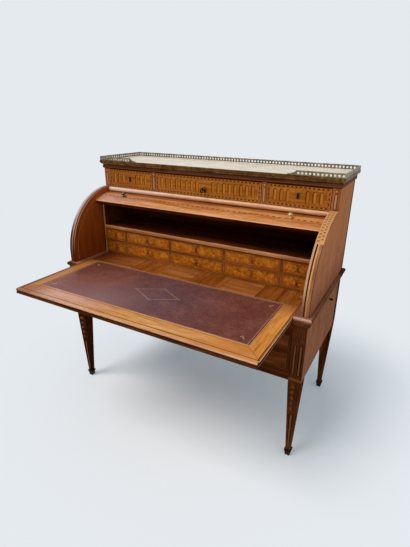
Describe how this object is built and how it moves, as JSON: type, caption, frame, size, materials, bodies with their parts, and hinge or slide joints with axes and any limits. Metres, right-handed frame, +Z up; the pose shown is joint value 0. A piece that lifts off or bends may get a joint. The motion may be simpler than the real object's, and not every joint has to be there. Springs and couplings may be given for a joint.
{
  "type": "cylinder desk",
  "caption": "Cylinder desk with a rolling quarter-round cover, a drawn-out leather writing slide, small drawers, a frieze under a marble top with brass gallery, on tapered legs.",
  "frame": {"origin": "on the floor, at the middle of the desk's box with the writing slide drawn out", "axes": "+X to the right of someone seated at the desk, +Y to the back, +Z up"},
  "size_m": [1.338, 1.0464, 1.265],
  "materials": {
    "case_veneer": "french-polished mahogany veneer, satin gloss",
    "drawer_veneer": "polished light veneer with inlay",
    "slide_veneer": "polished cross-banded veneer",
    "cover_veneer": "polished veneer with an inlaid line",
    "inner_wood": "plain secondary wood, waxed",
    "leather": "worn tooled leather",
    "brass": "old brass with a dull patina",
    "dark_brass": "blackened brass",
    "iron": "dark iron",
    "marble": "polished cream marble"
  },
  "bodies": {
    "carcass": {"leg_front_right": "case_veneer", "leg_front_left": "case_veneer", "leg_back_right": "case_veneer", "leg_back_left": "case_veneer", "leg_caps": "dark_brass", "lower_side_right": "case_veneer", "lower_side_left": "case_veneer", "lower_back": "case_veneer", "front_rails": "case_veneer", "pedestal_partitions": "inner_wood", "dust_boards": "inner_wood", "slide_bearers": "inner_wood", "waist_moulding": "case_veneer", "upper_side_right": "case_veneer", "upper_side_left": "case_veneer", "nest_cheeks": "case_veneer", "cylinder_pivot_pins": "iron", "upper_back": "case_veneer", "nest_dividers": "inner_wood", "nest_shelf": "case_veneer", "nest_back": "inner_wood", "frieze_bottom_board": "case_veneer", "frieze_bead": "case_veneer", "frieze_uprights": "case_veneer", "frieze_top_board": "case_veneer", "brass_edge_moulding": "brass", "marble_top": "marble", "gallery": "brass"},
    "writing_slide": {"slide_panel": "slide_veneer", "slide_bands": "slide_veneer", "slide_nosing": "slide_veneer", "slide_leather": "leather"},
    "rolling_cover": {"cylinder_shell": "cover_veneer", "cylinder_lip_rail": "cover_veneer", "cylinder_knobs": "brass", "cylinder_arms": "iron"},
    "key": {"drawer_key": "iron"},
    "frieze_drawer_left": {"frieze_drawer_left": "drawer_veneer", "frieze_lock_left": "brass"},
    "frieze_drawer_centre": {"frieze_drawer_centre": "drawer_veneer", "frieze_lock_centre": "brass"},
    "frieze_drawer_right": {"frieze_drawer_right": "drawer_veneer", "frieze_lock_right": "brass"},
    "nest_drawer_far_left_lower": {"nest_drawer_far_left_lower": "drawer_veneer"},
    "nest_drawer_left_lower": {"nest_drawer_left_lower": "drawer_veneer"},
    "nest_drawer_centre_lower": {"nest_drawer_centre_lower": "drawer_veneer"},
    "nest_drawer_right_lower": {"nest_drawer_right_lower": "drawer_veneer"},
    "nest_drawer_far_right_lower": {"nest_drawer_far_right_lower": "drawer_veneer"},
    "nest_drawer_far_left_upper": {"nest_drawer_far_left_upper": "drawer_veneer"},
    "nest_drawer_left_upper": {"nest_drawer_left_upper": "drawer_veneer"},
    "nest_drawer_centre_upper": {"nest_drawer_centre_upper": "drawer_veneer"},
    "nest_drawer_right_upper": {"nest_drawer_right_upper": "drawer_veneer"},
    "nest_drawer_far_right_upper": {"nest_drawer_far_right_upper": "drawer_veneer"},
    "pedestal_drawer_right_lower": {"pedestal_drawer_right_lower": "drawer_veneer"},
    "pedestal_drawer_left_lower": {"pedestal_drawer_left_lower": "drawer_veneer"},
    "pedestal_drawer_right_upper": {"pedestal_drawer_right_upper": "drawer_veneer"},
    "pedestal_drawer_left_upper": {"pedestal_drawer_left_upper": "drawer_veneer"},
    "knee_drawer": {"knee_drawer": "drawer_veneer"},
    "side_slide_right": {"side_slide_right": "case_veneer"},
    "side_slide_left": {"side_slide_left": "case_veneer"}
  },
  "joints": [
    {"name": "slide_push_in", "type": "slide", "parent": "carcass", "child": "writing_slide", "axis": [0, 1, 0], "range_m": [0, 0.366]},
    {"name": "cover_roll", "type": "hinge", "parent": "carcass", "child": "rolling_cover", "pos_m": [0, 0.18679, 0.785], "axis": [1, 0, 0], "range_deg": [0, 70]},
    {"name": "frieze_left_pull", "type": "slide", "parent": "carcass", "child": "frieze_drawer_left", "axis": [0, -1, 0], "range_m": [0, 0.22]},
    {"name": "frieze_centre_pull", "type": "slide", "parent": "carcass", "child": "frieze_drawer_centre", "axis": [0, -1, 0], "range_m": [0, 0.22]},
    {"name": "frieze_right_pull", "type": "slide", "parent": "carcass", "child": "frieze_drawer_right", "axis": [0, -1, 0], "range_m": [0, 0.22]},
    {"name": "key_turn", "type": "hinge", "parent": "frieze_drawer_centre", "child": "key", "pos_m": [0, 0.17979, 1.138], "axis": [0, 1, 0], "range_deg": [0, 90]},
    {"name": "nest_far_left_lower_pull", "type": "slide", "parent": "carcass", "child": "nest_drawer_far_left_lower", "axis": [0, -1, 0], "range_m": [0, 0.14]},
    {"name": "nest_left_lower_pull", "type": "slide", "parent": "carcass", "child": "nest_drawer_left_lower", "axis": [0, -1, 0], "range_m": [0, 0.14]},
    {"name": "nest_centre_lower_pull", "type": "slide", "parent": "carcass", "child": "nest_drawer_centre_lower", "axis": [0, -1, 0], "range_m": [0, 0.14]},
    {"name": "nest_right_lower_pull", "type": "slide", "parent": "carcass", "child": "nest_drawer_right_lower", "axis": [0, -1, 0], "range_m": [0, 0.14]},
    {"name": "nest_far_right_lower_pull", "type": "slide", "parent": "carcass", "child": "nest_drawer_far_right_lower", "axis": [0, -1, 0], "range_m": [0, 0.14]},
    {"name": "nest_far_left_upper_pull", "type": "slide", "parent": "carcass", "child": "nest_drawer_far_left_upper", "axis": [0, -1, 0], "range_m": [0, 0.14]},
    {"name": "nest_left_upper_pull", "type": "slide", "parent": "carcass", "child": "nest_drawer_left_upper", "axis": [0, -1, 0], "range_m": [0, 0.14]},
    {"name": "nest_centre_upper_pull", "type": "slide", "parent": "carcass", "child": "nest_drawer_centre_upper", "axis": [0, -1, 0], "range_m": [0, 0.14]},
    {"name": "nest_right_upper_pull", "type": "slide", "parent": "carcass", "child": "nest_drawer_right_upper", "axis": [0, -1, 0], "range_m": [0, 0.14]},
    {"name": "nest_far_right_upper_pull", "type": "slide", "parent": "carcass", "child": "nest_drawer_far_right_upper", "axis": [0, -1, 0], "range_m": [0, 0.14]},
    {"name": "pedestal_right_lower_pull", "type": "slide", "parent": "carcass", "child": "pedestal_drawer_right_lower", "axis": [0, -1, 0], "range_m": [0, 0.35]},
    {"name": "pedestal_left_lower_pull", "type": "slide", "parent": "carcass", "child": "pedestal_drawer_left_lower", "axis": [0, -1, 0], "range_m": [0, 0.35]},
    {"name": "pedestal_right_upper_pull", "type": "slide", "parent": "carcass", "child": "pedestal_drawer_right_upper", "axis": [0, -1, 0], "range_m": [0, 0.35]},
    {"name": "pedestal_left_upper_pull", "type": "slide", "parent": "carcass", "child": "pedestal_drawer_left_upper", "axis": [0, -1, 0], "range_m": [0, 0.35]},
    {"name": "knee_pull", "type": "slide", "parent": "carcass", "child": "knee_drawer", "axis": [0, -1, 0], "range_m": [0, 0.35]},
    {"name": "side_slide_right_pull", "type": "slide", "parent": "carcass", "child": "side_slide_right", "axis": [1, 0, 0], "range_m": [0, 0.2]},
    {"name": "side_slide_left_pull", "type": "slide", "parent": "carcass", "child": "side_slide_left", "axis": [-1, 0, 0], "range_m": [0, 0.2]}
  ]
}
